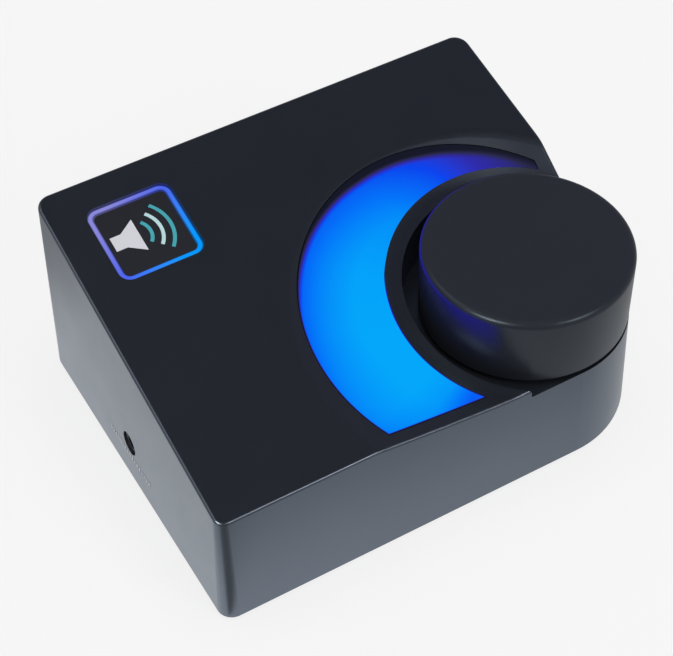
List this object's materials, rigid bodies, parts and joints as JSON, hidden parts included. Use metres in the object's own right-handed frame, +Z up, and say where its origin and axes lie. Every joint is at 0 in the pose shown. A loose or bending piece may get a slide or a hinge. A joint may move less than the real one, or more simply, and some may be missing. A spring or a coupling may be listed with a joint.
{
  "type": "desktop audio volume controller",
  "caption": "Wedge-shaped desktop volume controller with one large endless knob, a crescent light in a shallow dish, a square light frame and rear audio sockets.",
  "frame": {"origin": "centre of the case outline on the surface that the rubber feet stand on", "axes": "+X to the right along the front wall, +Y from the front to the rear panel, +Z up"},
  "size_m": [0.13, 0.1014, 0.058],
  "materials": {
    "housing": "fine satin texture, dark slate grey",
    "cover": "fine grain",
    "foot": "matte",
    "steel": "zinc plated",
    "panel": "fine powder coat",
    "jack": "moulded",
    "nut": "nickel plated",
    "contact": "gold plated tongue",
    "button": "semi gloss",
    "board": "green solder mask",
    "chip": "moulded epoxy",
    "can": "satin",
    "led": "white body",
    "diffuser": "white reflector",
    "lens": "milky, glows blue when lit",
    "guide": "clear light guide, glows blue when lit",
    "plate": "dark smooth plate",
    "knob": "fine satin black anodised look",
    "insert": "moulded",
    "lead": "flat ribbon"
  },
  "bodies": {
    "case": {"top_housing": "housing", "bottom_cover": "cover", "rubber_feet": "foot", "case_screws": "steel", "rear_panel": "panel", "panel_screws": "steel", "input_jack_left": "jack", "input_jack_right": "jack", "output_jack_left": "jack", "output_jack_right": "jack", "jack_nuts": "nut", "power_inlet_shell": "steel", "power_inlet_tongue": "contact", "pair_switch_case": "chip", "main_board": "board", "board_screws": "steel", "side_jack": "jack", "wireless_module": "board", "wireless_shield": "can", "main_board_chips": "chip", "capacitors": "can", "board_link_header": "chip", "control_board": "board", "control_board_screws": "steel", "crescent_leds": "led", "light_box": "diffuser", "crescent_lens": "lens", "encoder_case": "can", "encoder_bushing": "nut", "encoder_washer": "steel", "encoder_nut": "nut", "badge_light_guide": "guide", "badge_plate": "plate", "badge_board": "board", "badge_board_screws": "steel", "badge_leds": "led", "badge_lead": "lead", "badge_lead_header": "chip"},
    "knob": {"knob_cap": "knob", "knob_insert": "insert", "encoder_shaft": "steel", "encoder_rotor": "chip"},
    "pair_button": {"pair_button": "button", "pair_switch_plunger": "chip"}
  },
  "joints": [
    {"name": "knob_spin", "type": "hinge", "parent": "case", "child": "knob", "pos_m": [0.03711, -0.02286, 0.0319], "axis": [0, 0, 1], "continuous": true},
    {"name": "pair_button_press", "type": "slide", "parent": "case", "child": "pair_button", "axis": [0, -1, 0], "range_m": [0, 0.0006], "stiffness_N_per_m": 1200, "springref_m": -0.0008}
  ]
}
